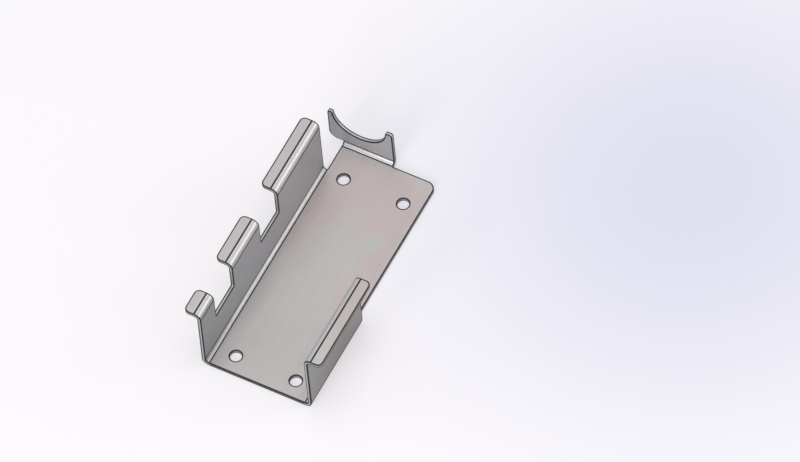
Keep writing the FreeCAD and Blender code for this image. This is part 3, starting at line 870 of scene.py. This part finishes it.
def add_lamp(look, name):
    """A square soft lamp that faces the bracket from its direction."""
    data = bpy.data.lights.new(f"{name}_lamp", "AREA")
    data.size = getattr(look, f"{name}_size")
    data.energy = getattr(look, f"{name}_power")
    data.color = getattr(look, f"{name}_tint")
    lamp = bpy.data.objects.new(f"{name}_lamp", data)
    toward = Vector(getattr(look, name)).normalized()
    lamp.location = toward * look.lamp_distance
    lamp.rotation_euler = toward.to_track_quat("Z", "Y").to_euler()
    bpy.context.scene.collection.objects.link(lamp)


def add_camera(look):
    """The photograph's camera: a long lens far off, so that the view is all but parallel.

    The lens axis passes through the middle of the frame, and the bolt pattern's centre appears at its place
    in the photograph, so the aim lies off that centre by as much as the photograph shows.
    """
    data = bpy.data.cameras.new("photo_camera")
    data.lens = look.focal_length
    data.sensor_width = SENSOR_WIDTH
    turned = (Matrix.Rotation(look.azimuth, 3, "Z") @ Matrix.Rotation(QUARTER - look.elevation, 3, "X")
              @ Matrix.Rotation(-look.roll, 3, "Z"))
    right, up, back = turned.col
    aside = PHOTO_SIZE[0] / 2 - PHOTO_ORIGIN_PIXEL[0]
    above = PHOTO_ORIGIN_PIXEL[1] - PHOTO_SIZE[1] / 2
    aim = (right * aside + up * above) / PHOTO_PIXELS_PER_METRE
    distance = look.focal_length / SENSOR_WIDTH * PHOTO_SIZE[0] / PHOTO_PIXELS_PER_METRE
    data.clip_end = 2 * distance
    camera = bpy.data.objects.new("photo_camera", data)
    camera.matrix_world = Matrix.Translation(aim + back * distance) @ turned.to_4x4()
    bpy.context.scene.collection.objects.link(camera)
    bpy.context.scene.camera = camera


class BRACKET_OT_sheet(bpy.types.Operator):
    """Fold the sheet and give it its surface"""
    bl_idname = "bracket.sheet"
    bl_label = "Folded sheet"

    def execute(self, context):
        piece = fold_bracket(context.scene.bracket_sizes)
        look = context.scene.bracket_steel
        groups = {"grain": rolled_grain(), "tint": plating_tint(), "marks": handling_marks()}
        piece.data.materials.append(rolled_skin(look, groups))
        piece.data.materials.append(cut_edge(look, groups))
        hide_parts("bracket")
        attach(piece, "root")
        return {"FINISHED"}


class BRACKET_OT_stage(bpy.types.Operator):
    """Lay the floor and place the light and the camera"""
    bl_idname = "bracket.stage"
    bl_label = "Studio stage"

    def execute(self, context):
        look = context.scene.bracket_stage
        half, drop = look.floor_size / 2, LOW.z - FLOOR_GAP
        corners = [(-half, -half, drop), (half, -half, drop), (half, half, drop), (-half, half, drop)]
        mesh = bpy.data.meshes.new("studio_floor")
        mesh.from_pydata(corners, [], [(0, 1, 2, 3)])
        floor = bpy.data.objects.new("studio_floor", mesh)
        floor.data.materials.append(floor_material(look))
        context.scene.collection.objects.link(floor)

        world = bpy.data.worlds.new("studio_light")
        world.use_nodes = True
        sky = world.node_tree.nodes["Background"].inputs
        sky["Color"].default_value = opaque(look.sky)
        sky["Strength"].default_value = look.sky_strength
        context.scene.world = world
        for name in ("overhead", "right", "front"):
            add_lamp(look, name)
        add_camera(look)
        context.scene.view_settings.view_transform = "Standard"
        return {"FINISHED"}


class BRACKET_PT_panel(bpy.types.Panel):
    """Sizes, looks and steps of the bracket"""
    bl_idname = "BRACKET_PT_panel"
    bl_label = "Folded bracket"
    bl_space_type = "VIEW_3D"
    bl_region_type = "UI"
    bl_category = "Bracket"

    def draw(self, context):
        for group in (getattr(context.scene, label) for label in SETTINGS):
            box = self.layout.box()
            for name in group.bl_rna.properties.keys():
                if name not in ("rna_type", "name"):
                    box.prop(group, name)
        for operator in OPERATORS:
            self.layout.operator(operator.bl_idname)


SETTINGS = {"bracket_sizes": BlankSizes, "bracket_steel": SteelLook, "bracket_stage": StageLook}
OPERATORS = (BRACKET_OT_sheet, BRACKET_OT_stage)
CLASSES = (*SETTINGS.values(), *OPERATORS, BRACKET_PT_panel)


def register():
    for cls in CLASSES:
        bpy.utils.register_class(cls)
    for label, cls in SETTINGS.items():
        setattr(bpy.types.Scene, label, bpy.props.PointerProperty(type=cls))


def unregister():
    for label in SETTINGS:
        delattr(bpy.types.Scene, label)
    for cls in reversed(CLASSES):
        bpy.utils.unregister_class(cls)


def main():
    """Dresses the frame."""
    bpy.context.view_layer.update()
    register()
    bpy.ops.bracket.sheet()
    bpy.ops.bracket.stage()


if __name__ == "__main__":
    main()
